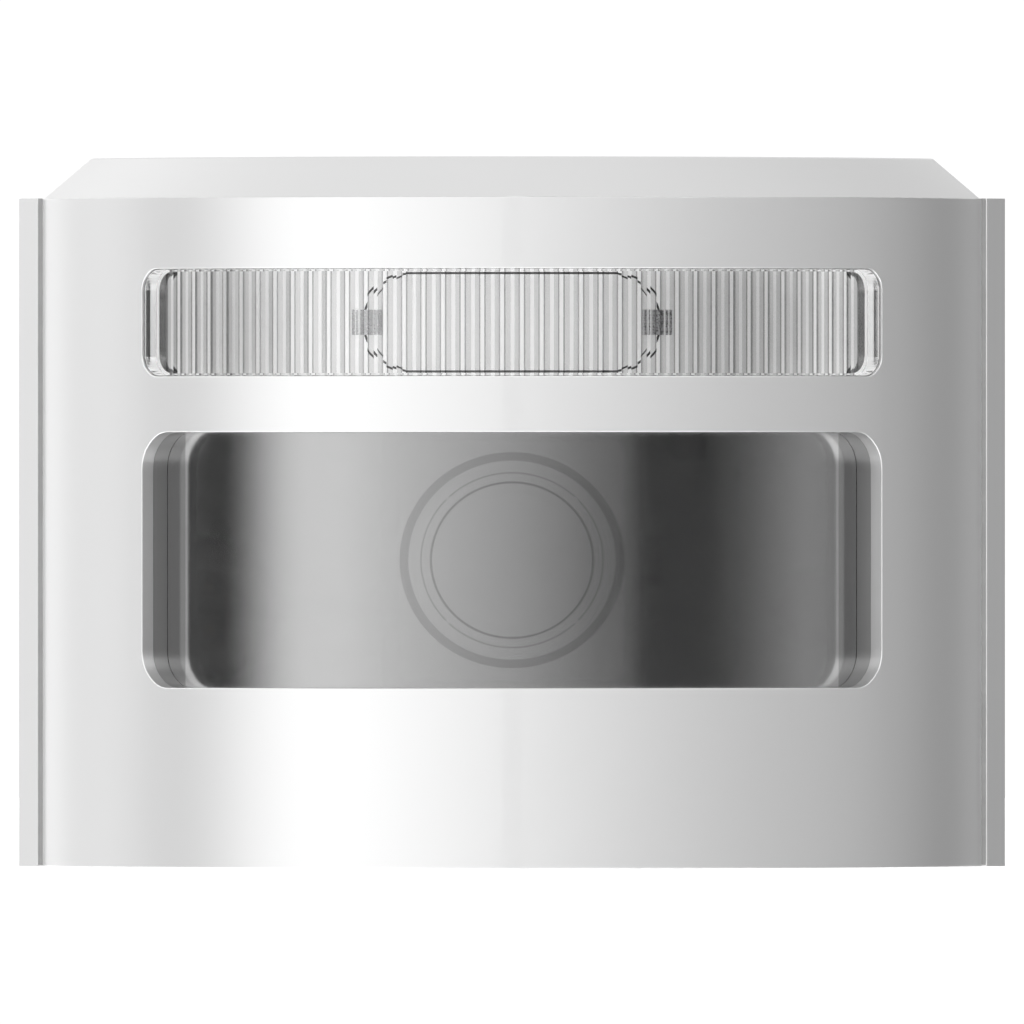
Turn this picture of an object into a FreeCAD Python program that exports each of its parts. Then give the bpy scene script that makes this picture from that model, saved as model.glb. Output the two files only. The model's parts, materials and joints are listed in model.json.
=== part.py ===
import FreeCAD, Part
import os
from math import acos, asin, cos, degrees, hypot, pi, radians, sin, sqrt, tan

# Scanner module with a half-round aluminium front. It stands on its base, or bolts up by its back.
# Millimetres. +Z is up, the rounded front faces -Y, and +X is on the right as seen from the front.
# The origin is on the base plane, at the middle of the footprint.

V = FreeCAD.Vector
X, Y, Z = V(1, 0, 0), V(0, 1, 0), V(0, 0, 1)

# ---- overall size ----
WIDTH = 130.0          # across the side rails
DEPTH = 60.0           # front of the curve to the back face
HEIGHT = 88.0          # front cover and rear housing
CAP_RISE = 5.28        # bevelled top cap above the cover
CAP_INSET = 6.45       # how far the bevel leans in over that rise

# ---- the half-round front: everything curved shares this vertical axis ----
FRONT_R = 66.0
BACK_Y = DEPTH / 2
AXIS_Y = FRONT_R - DEPTH / 2
PANEL_HALF = 61.85     # half-width where the curve meets the groove
COVER_T = 2.0
COVER_IN_R = FRONT_R - COVER_T
SKIRT_END_Y = 20.5     # how far back the cover's straight sides reach
PANEL_ANGLE = degrees(asin(PANEL_HALF / FRONT_R))
SKIRT_Y = AXIS_Y - sqrt(FRONT_R ** 2 - PANEL_HALF ** 2)
SKIRT_IN = PANEL_HALF - COVER_T

# ---- rear housing ----
SIDE_T = 2.55
SIDE_IN = WIDTH / 2 - SIDE_T
RAIL_Y = 13.0          # inner edge of the side rails, level with the cover's edge
RAIL_SLOPE = 52.0      # the rails' fronts fall away outwards at this angle
RAIL_OUT_Y = RAIL_Y + SIDE_T * tan(radians(RAIL_SLOPE))
SEAL_Y = 13.3          # front of the seals in the grooves between the two
BACK_T = 2.6
BACK_IN_Y = BACK_Y - BACK_T

# ---- the two windows, cut radially, as half-angle and height range ----
WINDOW_ANGLE = 47.4
LOWER_Z = (23.6, 57.15)
LOWER_CORNER = 5.0
UPPER_Z = (64.5, 78.6)
UPPER_CORNER = 2.9
LOWER_MID = sum(LOWER_Z) / 2
UPPER_MID = sum(UPPER_Z) / 2

# ---- shells behind the cover, as inner and outer radius ----
CARRIER_R = (61.55, 63.95)
PANE_R = (59.1, 61.5)
MASK_R = (55.4, 59.0)
FLANGE_R = (59.9, 61.5)
GASKET_R = (CARRIER_R[0], CARRIER_R[0] + 0.7)
TRAY_R = (52.6, 59.8)
TRAY_FLOOR_R = 54.0
FLEX_R = (51.9, 52.5)
LED_POCKET_R = 53.4    # the tray's floor stays closed in front of this
EAR_ANGLE = 53.5       # screws that hold the mask and the tray to the carrier
EAR_R = (57.0, 59.0)
MASK_EARS_Z = (26.0, 54.5)
TRAY_EARS_Z = (66.0, 77.0)

# ---- fluted lens ----
FLUTES = 39
FLUTE_PITCH = 2.37     # degrees
FLUTE_GAP = 0.40       # flat between two flutes, degrees
FLUTE_CREST = 0.46     # flat on top of each flute, degrees
FLUTE_RISE = 0.12
PAD_R = 65.6
PAD_BACK_R = 61.2
PAD_CLEAR = 0.06
PAD_RIM = 0.3

# ---- emitter plate behind the middle of the flutes ----
PLATE_HALF = 18.9
PLATE_HALF_H = 6.3
PLATE_R = (53.15, 54.6)
PLATE_GAP = 0.3
LED_ANGLES = (-42, -36, -30, -24, -8, 0, 8, 24, 30, 36, 42)

# ---- scan head ----
PAN_Y = 1.5
EYE_Z = LOWER_MID
PAN = V(0, PAN_Y, 0)
SHAFT_R = 2.0
BEARING_R = 4.5
BEARING_W = 4.0
SHELF_T = 2.0
LOW_SHELF_Z = 12.0
HIGH_SHELF_Z = 64.0
FRAME_Y = (19.5, 21.5)
YOKE_IN = 14.6
YOKE_T = 2.4
YOKE_HALF_Y = 6.0
YOKE_BRIDGE = 2.5
YOKE_Z = (EYE_Z - 18.3, EYE_Z + 18.3)
LEAD_R = (4.8, 10.4)    # the flexible lead wound round the lower hub
ENCODER_Z = 73.6
ENCODER_XY = [(sx * 6.0, y) for sx in (-1, 1) for y in (-4.0, 9.0)]
PIN_R = 1.5

# ---- barrel, measured along Y from the pan axis ----
BARREL_FRONT = -18.0
BARREL_STEP = -2.0
BARREL_REAR = 11.0
BARREL_R = 13.3
BARREL_REAR_R = 11.5
BUMPER_R = 14.35
RING_R = 11.7
EYE_R = 10.5
DETECTOR_Y = 6.6

# ---- gears ----
MODULE = 0.6
SECTOR_TEETH = 50
PINION_TEETH = 15
PRESSURE = radians(20)
GEAR_ADDENDUM = 0.9
GEAR_BACKLASH = 0.06
GEAR_Z = (59.2, 62.2)
MESH_ANGLE = 30.0      # direction from the pan axis to the motor, from +X
CENTRES = MODULE * (SECTOR_TEETH + PINION_TEETH) / 2
MOTOR = V(CENTRES * cos(radians(MESH_ANGLE)), PAN_Y + CENTRES * sin(radians(MESH_ANGLE)), 0)
MOTOR_R = 8.0
MOTOR_EAR = 10.2
MOTOR_EAR_ANGLE = -15.0
MOTOR_H = 16.0

# ---- fixings ----
PORT_R = 3.4
BOLT_R = 1.5
BASE_PLATE_Z = (0.5, 3.0)
FRONT_PORT = (62.6, 59.6)          # angle and radius of the cover's screw ports
REAR_PORT = (55.0, 23.2)           # across and depth of the rear housing's
POST_XZ = [(sx * 34.0, z) for sx in (-1, 1) for z in (18.0, 58.0)]
BOARD_XZ = [(sx * 23.0, z) for sx in (-1, 1) for z in (20.0, 56.0)]
BOARD_Y = (23.2, 24.8)
MOUNT_XZ = [(sx * 48.0, z) for sx in (-1, 1) for z in (12.0, 76.0)]
MOUNT_HOLE_R = 1.65                # tapped M4
INSERT_R = 2.8
INSERT_Y = 22.9
SOCKET_PLACES = [(-4.0, 53.0), (0.0, 19.0), (-18.0, 34.0)]   # connectors on the main board
SOCKET_XZ = (-40.0, 34.0)
VENT_XZ = (40.0, 34.0)


# ---- small helpers ----
def at(angle, radius, z=0.0):
    """The point at that angle from straight ahead and that radius from the front's axis."""
    a = radians(angle)
    return V(radius * sin(a), AXIS_Y - radius * cos(a), z)


def box(x0, x1, y0, y1, z0, z1):
    return Part.makeBox(x1 - x0, y1 - y0, z1 - z0, V(x0, y0, z0))


def rod(radius, start, direction, length):
    return Part.makeCylinder(radius, length, start, direction)


def tube(outer, inner, start, direction, length):
    return rod(outer, start, direction, length).cut(rod(inner, start, direction, length))


def line(a, b):
    return Part.makeLine(a, b)


def polygon(points, z0, z1):
    """A prism over a plan outline given as (x, y) points."""
    ring = [V(x, y, z0) for x, y in points]
    return Part.Face(Part.makePolygon(ring + ring[:1])).extrude(Z * (z1 - z0))


def curve(radius, a0, a1, z=0.0):
    return Part.Arc(at(a0, radius, z), at((a0 + a1) / 2, radius, z), at(a1, radius, z)).toShape()


def sector(radii, a0, a1, z0, z1):
    """A curved wall between two radii and two angles."""
    inner, outer = radii
    edges = [curve(outer, a0, a1, z0), line(at(a1, outer, z0), at(a1, inner, z0)),
             curve(inner, a1, a0, z0), line(at(a0, inner, z0), at(a0, outer, z0))]
    return Part.Face(Part.Wire(edges)).extrude(Z * (z1 - z0))


def radial_window(angle, z0, z1, corner, near=36.0, far=70.0):
    """A rounded rectangle that widens from the front's axis, so that its ends are radial."""
    def outline(distance):
        y = AXIS_Y - distance
        half = distance * tan(radians(angle))
        flat = distance * tan(radians(angle) - corner / FRONT_R)
        quarter = sqrt(0.5)
        edges = []
        corners = [(flat, z1 - corner, 1, 1), (flat, z0 + corner, 1, -1),
                   (-flat, z0 + corner, -1, -1), (-flat, z1 - corner, -1, 1)]
        for i, (cx, cz, sx, sz) in enumerate(corners):
            side = V(cx + sx * (half - flat), y, cz)
            top = V(cx, y, cz + sz * corner)
            middle = V(cx + sx * (half - flat) * quarter, y, cz + sz * corner * quarter)
            first, last = (top, side) if i % 2 == 0 else (side, top)
            bend = Part.BSplineCurve()
            tangents = (X * sx, -Z * sz) if first is top else (Z * sz, -X * sx)
            bend.interpolate(Points=[first, middle, last], InitialTangent=tangents[0] * (half - flat),
                             FinalTangent=tangents[1] * (half - flat))
            edges.append((first, bend.toShape(), last))
        ring = []
        for i, (first, bend, last) in enumerate(edges):
            ring.append(bend)
            ring.append(line(last, edges[(i + 1) % 4][0]))
        return Part.Wire(ring)
    return Part.makeLoft([outline(near), outline(far)], True, True)


def on_radius(shape, angle, z=0.0):
    """Turns a shape that was drawn about the front's axis, straight ahead, to that angle and height."""
    moved = shape.copy()
    moved.rotate(V(0, AXIS_Y, 0), Z, angle)
    moved.translate(V(0, 0, z))
    return moved


def radial_rod(radius, angle, z, inner, outer):
    return on_radius(rod(radius, V(0, AXIS_Y - inner, 0), -Y, outer - inner), angle, z)


def radial_box(half_w, half_h, angle, z, inner, outer):
    return on_radius(box(-half_w, half_w, AXIS_Y - outer, AXIS_Y - inner, -half_h, half_h), angle, z)


def join(shapes):
    shapes = list(shapes)
    return shapes[0].fuse(shapes[1:]).removeSplitter() if len(shapes) > 1 else shapes[0]


def group(shapes):
    return Part.makeCompound(list(shapes))


def rounded(shape, size, chosen, chamfer=False):
    """Rounds or chamfers the chosen edges."""
    edges = [e for e in shape.Edges if chosen(e)]
    if chamfer:
        return shape.makeChamfer(size, edges)
    return shape.makeFillet(size, edges)


def upright(e):
    return abs(e.BoundBox.XLength) < 0.01 and abs(e.BoundBox.YLength) < 0.01


def deep(e):
    return abs(e.BoundBox.XLength) < 0.01 and abs(e.BoundBox.ZLength) < 0.01


def level(e, z):
    return abs(e.BoundBox.ZMin - z) < 0.01 and abs(e.BoundBox.ZMax - z) < 0.01


def hexagon(radius, x, y, z, thickness):
    """A hexagonal block along Y."""
    ring = [V(x + radius * cos(k * pi / 3), y, z + radius * sin(k * pi / 3)) for k in range(6)]
    return Part.Face(Part.makePolygon(ring + ring[:1])).extrude(Y * thickness)


def screw(head_r, head_h, shank_r, length, start, direction, slot=0.8):
    """A cross-slotted pan-head screw: its head sits behind start and its shank runs along direction."""
    top = start - direction * head_h
    head = rod(head_r, top, direction, head_h)
    head = rounded(head, head_h * 0.4, lambda e: e.isClosed() and (e.CenterOfMass - top).Length < 0.01)
    made = head.fuse(rod(shank_r, start, direction, length)).removeSplitter()
    across = Z if abs(direction.z) < 0.5 else X
    other = direction.cross(across)
    for a, b in ((across, other), (other, across)):
        corner = top - a * head_r * 0.6 - b * slot / 2
        far = corner + a * head_r * 1.2
        cut = Part.makePolygon([corner, far, far + b * slot, corner + b * slot, corner])
        made = made.cut(Part.Face(cut).extrude(direction * head_h * 0.5))
    return made


# ---- housing ----
def cover_section():
    """The cover's plan: the curve and a straight skirt at each side."""
    inner_angle = degrees(asin(SKIRT_IN / COVER_IN_R))
    end = SKIRT_END_Y
    edges = [curve(FRONT_R, -PANEL_ANGLE, PANEL_ANGLE),
             line(V(PANEL_HALF, SKIRT_Y, 0), V(PANEL_HALF, end, 0)),
             line(V(PANEL_HALF, end, 0), V(SKIRT_IN, end, 0)),
             line(V(SKIRT_IN, end, 0), at(inner_angle, COVER_IN_R)),
             curve(COVER_IN_R, inner_angle, -inner_angle),
             line(at(-inner_angle, COVER_IN_R), V(-SKIRT_IN, end, 0)),
             line(V(-SKIRT_IN, end, 0), V(-PANEL_HALF, end, 0)),
             line(V(-PANEL_HALF, end, 0), V(-PANEL_HALF, SKIRT_Y, 0))]
    return Part.Face(Part.Wire(edges))


def front_ports():
    return [at(side * FRONT_PORT[0], FRONT_PORT[1]) for side in (-1, 1)]


def rear_ports():
    return [V(side * REAR_PORT[0], REAR_PORT[1], 0) for side in (-1, 1)]


def front_cover():
    shell = cover_section().extrude(Z * HEIGHT)
    low, tall = BASE_PLATE_Z[1], HEIGHT - BASE_PLATE_Z[1]
    ports = [rod(PORT_R, p + Z * low, Z, tall) for p in front_ports()]
    angle, radius = FRONT_PORT
    fins = [radial_box(1.6, tall / 2, side * angle, low + tall / 2, radius, COVER_IN_R + 0.5)
            for side in (-1, 1)]
    shell = join([shell] + ports + fins)
    for p in front_ports():
        shell = shell.cut(rod(BOLT_R + 0.1, p, Z, HEIGHT))
    shell = shell.cut(radial_window(WINDOW_ANGLE, *LOWER_Z, LOWER_CORNER))
    shell = shell.cut(radial_window(WINDOW_ANGLE, *UPPER_Z, UPPER_CORNER))

    def outer_rim(e):
        at_front = all(abs(hypot(v.X, v.Y - AXIS_Y) - FRONT_R) < 0.01 for v in e.Vertexes)
        side_edge = upright(e) and abs(abs(e.BoundBox.XMin) - PANEL_HALF) < 1
        return at_front and not side_edge
    return rounded(shell, 0.12, outer_rim)


def rear_housing():
    half = WIDTH / 2
    shell = polygon([(-half, RAIL_OUT_Y), (-SIDE_IN, RAIL_Y), (SIDE_IN, RAIL_Y), (half, RAIL_OUT_Y),
                     (half, BACK_Y), (-half, BACK_Y)], 0, HEIGHT)
    shell = rounded(shell, 1.2, lambda e: upright(e) and e.BoundBox.YMin > BACK_Y - 0.1)
    shell = shell.cut(box(-SIDE_IN, SIDE_IN, RAIL_Y - 1, BACK_IN_Y, -1, HEIGHT + 1))
    adds = [rod(PORT_R, p + Z * BASE_PLATE_Z[1], Z, HEIGHT - BASE_PLATE_Z[1]) for p in rear_ports()]
    adds += [box(p.x - 1.6, p.x + 1.6, p.y, BACK_IN_Y, BASE_PLATE_Z[1], HEIGHT) for p in rear_ports()]
    adds += [rod(3.2, V(x, FRAME_Y[1], z), Y, BACK_IN_Y - FRAME_Y[1]) for x, z in POST_XZ]
    adds += [rod(2.5, V(x, BOARD_Y[1], z), Y, BACK_IN_Y - BOARD_Y[1]) for x, z in BOARD_XZ]
    adds += [rod(5.0, V(x, INSERT_Y - 1, z), Y, BACK_IN_Y - INSERT_Y + 1) for x, z in MOUNT_XZ]
    shell = join([shell] + adds)
    holes = [rod(BOLT_R + 0.1, p, Z, HEIGHT) for p in rear_ports()]
    holes += [rod(1.25, V(x, FRAME_Y[1], z), Y, 6.0) for x, z in POST_XZ]
    holes += [rod(1.0, V(x, BOARD_Y[1], z), Y, 4.0) for x, z in BOARD_XZ]
    holes += [rod(INSERT_R, V(x, INSERT_Y, z), Y, BACK_Y - INSERT_Y) for x, z in MOUNT_XZ]
    holes += [rod(8.0, V(SOCKET_XZ[0], BACK_IN_Y, SOCKET_XZ[1]), Y, BACK_T),
              rod(3.0, V(VENT_XZ[0], BACK_IN_Y, VENT_XZ[1]), Y, BACK_T),
              rod(6.0, V(VENT_XZ[0], BACK_Y - 1.4, VENT_XZ[1]), Y, 1.4)]
    label = box(-26, 26, BACK_Y - 0.4, BACK_Y, 22, 66)
    holes.append(rounded(label, 3.0, deep))
    for hole in holes:
        shell = shell.cut(hole)

    def rail_edge(e):
        return abs(e.BoundBox.YMax - RAIL_Y) < 0.01 and e.BoundBox.ZLength > HEIGHT - 1
    return rounded(shell, 0.25, rail_edge, chamfer=True)


def cap_outline(inset, z):
    """The cap's plan: the curve, straight sides and a flat back, drawn in from the cover by inset."""
    r, half = FRONT_R - inset, PANEL_HALF - inset
    angle = degrees(asin(half / r))
    corner = at(angle, r, z)
    return Part.Wire([curve(r, -angle, angle, z),
                      line(corner, V(half, BACK_Y, z)),
                      line(V(half, BACK_Y, z), V(-half, BACK_Y, z)),
                      line(V(-half, BACK_Y, z), at(-angle, r, z))])


def cap_ring(outer, inner, z0, z1):
    """A band that follows the cap's outline between two insets, with its back closed by the inner inset."""
    solid = Part.Face(cap_outline(outer, z0)).extrude(Z * (z1 - z0))
    hole = Part.Face(cap_outline(inner, z0)).extrude(Z * (z1 - z0))
    back = box(-WIDTH, WIDTH, BACK_Y - inner, BACK_Y, z0, z1)
    return solid.cut(hole.cut(back))


def top_cap():
    edge = 0.25
    top = HEIGHT + CAP_RISE
    cap = Part.makeLoft([cap_outline(edge, HEIGHT), cap_outline(CAP_INSET, top)], True, True)
    cap = rounded(cap, 0.7, lambda e: level(e, top))
    pocket = Part.Face(cap_outline(9.0, HEIGHT)).extrude(Z * 2.8)
    cap = cap.cut(pocket.cut(box(-WIDTH, WIDTH, BACK_Y - 9.0, BACK_Y, HEIGHT, HEIGHT + 2.8)))
    cap = cap.cut(cap_ring(0.9, 4.6, HEIGHT, HEIGHT + 0.5))
    cap = cap.cut(box(-PANEL_HALF + 0.9, PANEL_HALF - 0.9, BACK_Y - 4.6, BACK_Y - 0.9, HEIGHT, HEIGHT + 0.5))
    for p in front_ports() + rear_ports():
        cap = cap.cut(rod(BOLT_R - 0.25, p + Z * HEIGHT, Z, 2.9))
    return cap


def cap_gasket():
    ring = cap_ring(0.9, 4.6, HEIGHT, HEIGHT + 0.5)
    ring = ring.cut(box(-WIDTH, WIDTH, BACK_Y - 0.9, BACK_Y + 1, HEIGHT, HEIGHT + 1))
    for p in front_ports() + rear_ports():
        ring = ring.cut(rod(BOLT_R + 0.2, p + Z * HEIGHT, Z, 1.0))
    return ring


def base_outline(inset, z):
    """The base plate's plan, inside the cover's skirts and the rear housing."""
    r, narrow, wide = COVER_IN_R - inset, SKIRT_IN - inset, SIDE_IN - inset
    step, back = SKIRT_END_Y + inset, BACK_IN_Y - inset
    angle = degrees(asin(narrow / r))
    right = [at(angle, r, z), V(narrow, step, z), V(wide, step, z), V(wide, back, z)]
    left = [V(-p.x, p.y, z) for p in reversed(right)]
    points = right + left
    edges = [curve(r, -angle, angle, z)] + [line(a, b) for a, b in zip(points, points[1:])]
    return Part.Face(Part.Wire(edges))


def base_plate():
    z0, z1 = BASE_PLATE_Z
    plate = base_outline(0.9, z0).extrude(Z * (z1 - z0))
    for p in front_ports() + rear_ports():
        plate = plate.cut(rod(BOLT_R + 0.1, p, Z, z1))
        plate = plate.cut(Part.makeCone(3.1, BOLT_R + 0.1, 1.6, p + Z * z0, Z))
    ribs = [box(x - 0.8, x + 0.8, -14, 20, z1, z1 + 2.0) for x in (-30, -10, 10, 30)]
    return join([plate] + ribs)


def base_seal():
    z0, z1 = BASE_PLATE_Z
    band = base_outline(0.0, z0 + 0.3).extrude(Z * (z1 - z0 - 0.3))
    band = band.cut(base_outline(0.9, z0).extrude(Z * (z1 - z0)))
    return band


def tie_bolts():
    """Four long countersunk bolts from under the base plate up into the cap."""
    z0 = BASE_PLATE_Z[0]
    top = HEIGHT + 2.7
    bolts = []
    for p in front_ports() + rear_ports():
        shank = rod(BOLT_R - 0.25, p + Z * (HEIGHT - 2), Z, top - HEIGHT + 2)
        bolt = join([rod(BOLT_R, p + Z * (z0 + 1.6), Z, HEIGHT - 2 - z0 - 1.6), shank,
                     Part.makeCone(3.0, BOLT_R, 1.6, p + Z * z0, Z)])
        socket = polygon([(p.x + 1.1 * cos(k * pi / 3), p.y + 1.1 * sin(k * pi / 3)) for k in range(6)],
                         z0, z0 + 1.1)
        bolts.append(bolt.cut(socket))
    return group(bolts)


def side_seals():
    """Strips that fill the grooves between the cover's skirts and the rails."""
    return group(box(*sorted((side * PANEL_HALF, side * SIDE_IN)), SEAL_Y, SKIRT_END_Y, 0.2, HEIGHT)
                 for side in (-1, 1))


def mount_inserts():
    """Knurled brass inserts, tapped M4, flush with the back face."""
    made = []
    for x, z in MOUNT_XZ:
        body = tube(INSERT_R, MOUNT_HOLE_R, V(x, INSERT_Y, z), Y, BACK_Y - INSERT_Y)
        for k in range(18):
            a = k * pi / 9
            knurl = rod(0.18, V(x + INSERT_R * cos(a), 23.6, z + INSERT_R * sin(a)), Y, 5.4)
            body = body.cut(knurl)
        made.append(body)
    return group(made)


# ---- windows and what holds them ----
def grown_window(zs, corner, grow):
    """The window's outline, larger all round by grow, measured on the cover's surface."""
    angle = WINDOW_ANGLE + degrees(grow / FRONT_R)
    return radial_window(angle, zs[0] - grow, zs[1] + grow, corner + grow)


def window_gasket(zs, corner):
    ring = sector(GASKET_R, -60, 60, zs[0] - 5, zs[1] + 5)
    return ring.common(grown_window(zs, corner, 2.3)).cut(grown_window(zs, corner, 0.9))


def window_carrier():
    body = sector(CARRIER_R, -58.8, 58.8, 3.6, HEIGHT - 0.6)
    body = body.cut(grown_window(LOWER_Z, LOWER_CORNER, 0)).cut(grown_window(UPPER_Z, UPPER_CORNER, 0))
    body = body.cut(window_gasket(LOWER_Z, LOWER_CORNER)).cut(window_gasket(UPPER_Z, UPPER_CORNER))
    for side in (-1, 1):
        for z in MASK_EARS_Z + TRAY_EARS_Z:
            body = body.fuse(radial_rod(2.3, side * EAR_ANGLE, z, EAR_R[1], CARRIER_R[0] + 0.4))
    body = body.removeSplitter()
    for side in (-1, 1):
        for z in MASK_EARS_Z + TRAY_EARS_Z:
            body = body.cut(radial_rod(1.0, side * EAR_ANGLE, z, EAR_R[1] - 1, CARRIER_R[1] - 0.9))
    return body


def smoked_window():
    pane = sector(PANE_R, -56, 56, 19.0, 62.0)
    return pane.common(radial_window(50.9, 20.2, 60.6, 3.0))


def flute_profile():
    """The fluted back of the lens and its smooth front, as one plan outline."""
    end = FLUTES * FLUTE_PITCH / 2
    edges = [curve(PAD_R, -end, end), line(at(end, PAD_R), at(end, PAD_BACK_R))]
    points = [at(end, PAD_BACK_R)]
    for k in range(FLUTES):
        middle = end - FLUTE_PITCH * (k + 0.5)
        foot, top = (FLUTE_PITCH - FLUTE_GAP) / 2, FLUTE_CREST / 2
        points += [at(middle + foot, PAD_BACK_R), at(middle + top, PAD_BACK_R - FLUTE_RISE),
                   at(middle - top, PAD_BACK_R - FLUTE_RISE), at(middle - foot, PAD_BACK_R)]
    points += [at(-end, PAD_BACK_R), at(-end, PAD_R)]
    edges += [line(a, b) for a, b in zip(points, points[1:])]
    return Part.Face(Part.Wire(edges))


def fluted_lens():
    z0, z1 = UPPER_Z
    outline = grown_window(UPPER_Z, UPPER_CORNER, -PAD_CLEAR)
    pad = flute_profile().extrude(Z * (z1 - z0))
    pad.translate(Z * z0)
    ends = [sector((PAD_BACK_R, PAD_R), *sorted((side * 46.1, side * 48.5)), z0, z1) for side in (-1, 1)]
    pad = pad.fuse(ends).removeSplitter().common(outline)
    flange = sector(FLANGE_R, -50.5, 50.5, z0 - 2.4, z1 + 2.4)
    flange = flange.cut(grown_window(UPPER_Z, UPPER_CORNER, -PAD_CLEAR - PAD_RIM))
    return pad.fuse(flange)


def light_shield():
    body = sector(MASK_R, -50.4, 50.4, 20.4, 60.2)
    for side in (-1, 1):
        for z in MASK_EARS_Z:
            a0, a1 = sorted((side * 50.0, side * (EAR_ANGLE + 2.2)))
            body = body.fuse(sector(EAR_R, a0, a1, z - 2.6, z + 2.6))
    body = body.removeSplitter().cut(grown_window(LOWER_Z, LOWER_CORNER, 0))
    for side in (-1, 1):
        for z in MASK_EARS_Z:
            body = body.cut(radial_rod(1.15, side * EAR_ANGLE, z, EAR_R[0] - 1, EAR_R[1] + 1))
    return body


def stadium(half, half_h, y0, y1):
    """A slot shape along Y with round ends, centred on the upper window."""
    middle = box(-(half - half_h), half - half_h, y0, y1, UPPER_MID - half_h, UPPER_MID + half_h)
    ends = [rod(half_h, V(side * (half - half_h), y0, UPPER_MID), Y, y1 - y0) for side in (-1, 1)]
    return join([middle] + ends)


def emitter_tray():
    z0, z1 = UPPER_Z[0] - 1.7, UPPER_Z[1] + 1.9
    body = sector(TRAY_R, -50, 50, z0, z1)
    body = body.cut(sector((TRAY_FLOOR_R, TRAY_R[1] + 1), -48.4, 48.4, z0 + 1.4, z1 - 1.4))
    for side in (-1, 1):
        for z in TRAY_EARS_Z:
            a0, a1 = sorted((side * 49.5, side * (EAR_ANGLE + 2.2)))
            body = body.fuse(sector(EAR_R, a0, a1, z - 2.4, z + 2.4))
    body = body.removeSplitter()
    body = body.cut(stadium(PLATE_HALF + PLATE_GAP, PLATE_HALF_H + PLATE_GAP, -20, -12))
    for angle in LED_ANGLES:
        if abs(angle) > 20:
            body = body.cut(radial_box(2.0, 1.7, angle, UPPER_MID, TRAY_R[0] - 1, LED_POCKET_R))
    for side in (-1, 1):
        for z in TRAY_EARS_Z:
            body = body.cut(radial_rod(1.15, side * EAR_ANGLE, z, EAR_R[0] - 1, EAR_R[1] + 1))
    return body


def emitter_plate():
    plate = sector(PLATE_R, -30, 30, UPPER_Z[0], UPPER_Z[1])
    return plate.common(stadium(PLATE_HALF, PLATE_HALF_H, -20, -10))


def emitter_clip(side):
    """A small black tab that holds one end of the emitter plate down."""
    end = degrees(asin(PLATE_HALF / PLATE_R[1]))
    a0, a1 = sorted((side * (end - 1.75), side * (end + 1.0)))
    tab = sector((PLATE_R[1], PLATE_R[1] + 0.7), a0, a1, UPPER_MID - 1.65, UPPER_MID + 1.65)
    b0, b1 = sorted((side * (end + 0.6), side * (end + 1.0)))
    return join([tab, sector((TRAY_FLOOR_R, PLATE_R[1] + 0.1), b0, b1, UPPER_MID - 1.65, UPPER_MID + 1.65)])


def emitter_flex():
    strip = sector(FLEX_R, -46, 46, UPPER_MID - 6.4, UPPER_MID + 6.4)
    socket = box(-6, 6, AXIS_Y - FLEX_R[0] + 0.05, AXIS_Y - FLEX_R[0] + 1.5, UPPER_MID - 5, UPPER_MID - 2)
    return join([strip, socket])


def emitter_leds():
    made = []
    for angle in LED_ANGLES:
        body = radial_box(1.7, 1.4, angle, UPPER_MID, FLEX_R[1], FLEX_R[1] + 0.45)
        lens = radial_rod(1.1, angle, UPPER_MID, FLEX_R[1] + 0.4, FLEX_R[1] + 0.6)
        made.append(join([body, lens]))
    return group(made)


def radial_screws(heights):
    """Pan-head screws from inside, through the ears into the carrier."""
    made = []
    for side in (-1, 1):
        for z in heights:
            one = screw(1.9, 1.3, 1.0, 6.0, V(0, AXIS_Y - EAR_R[0] + 0.05, 0), -Y, slot=0.5)
            made.append(on_radius(one, side * EAR_ANGLE, z))
    return group(made)


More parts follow.
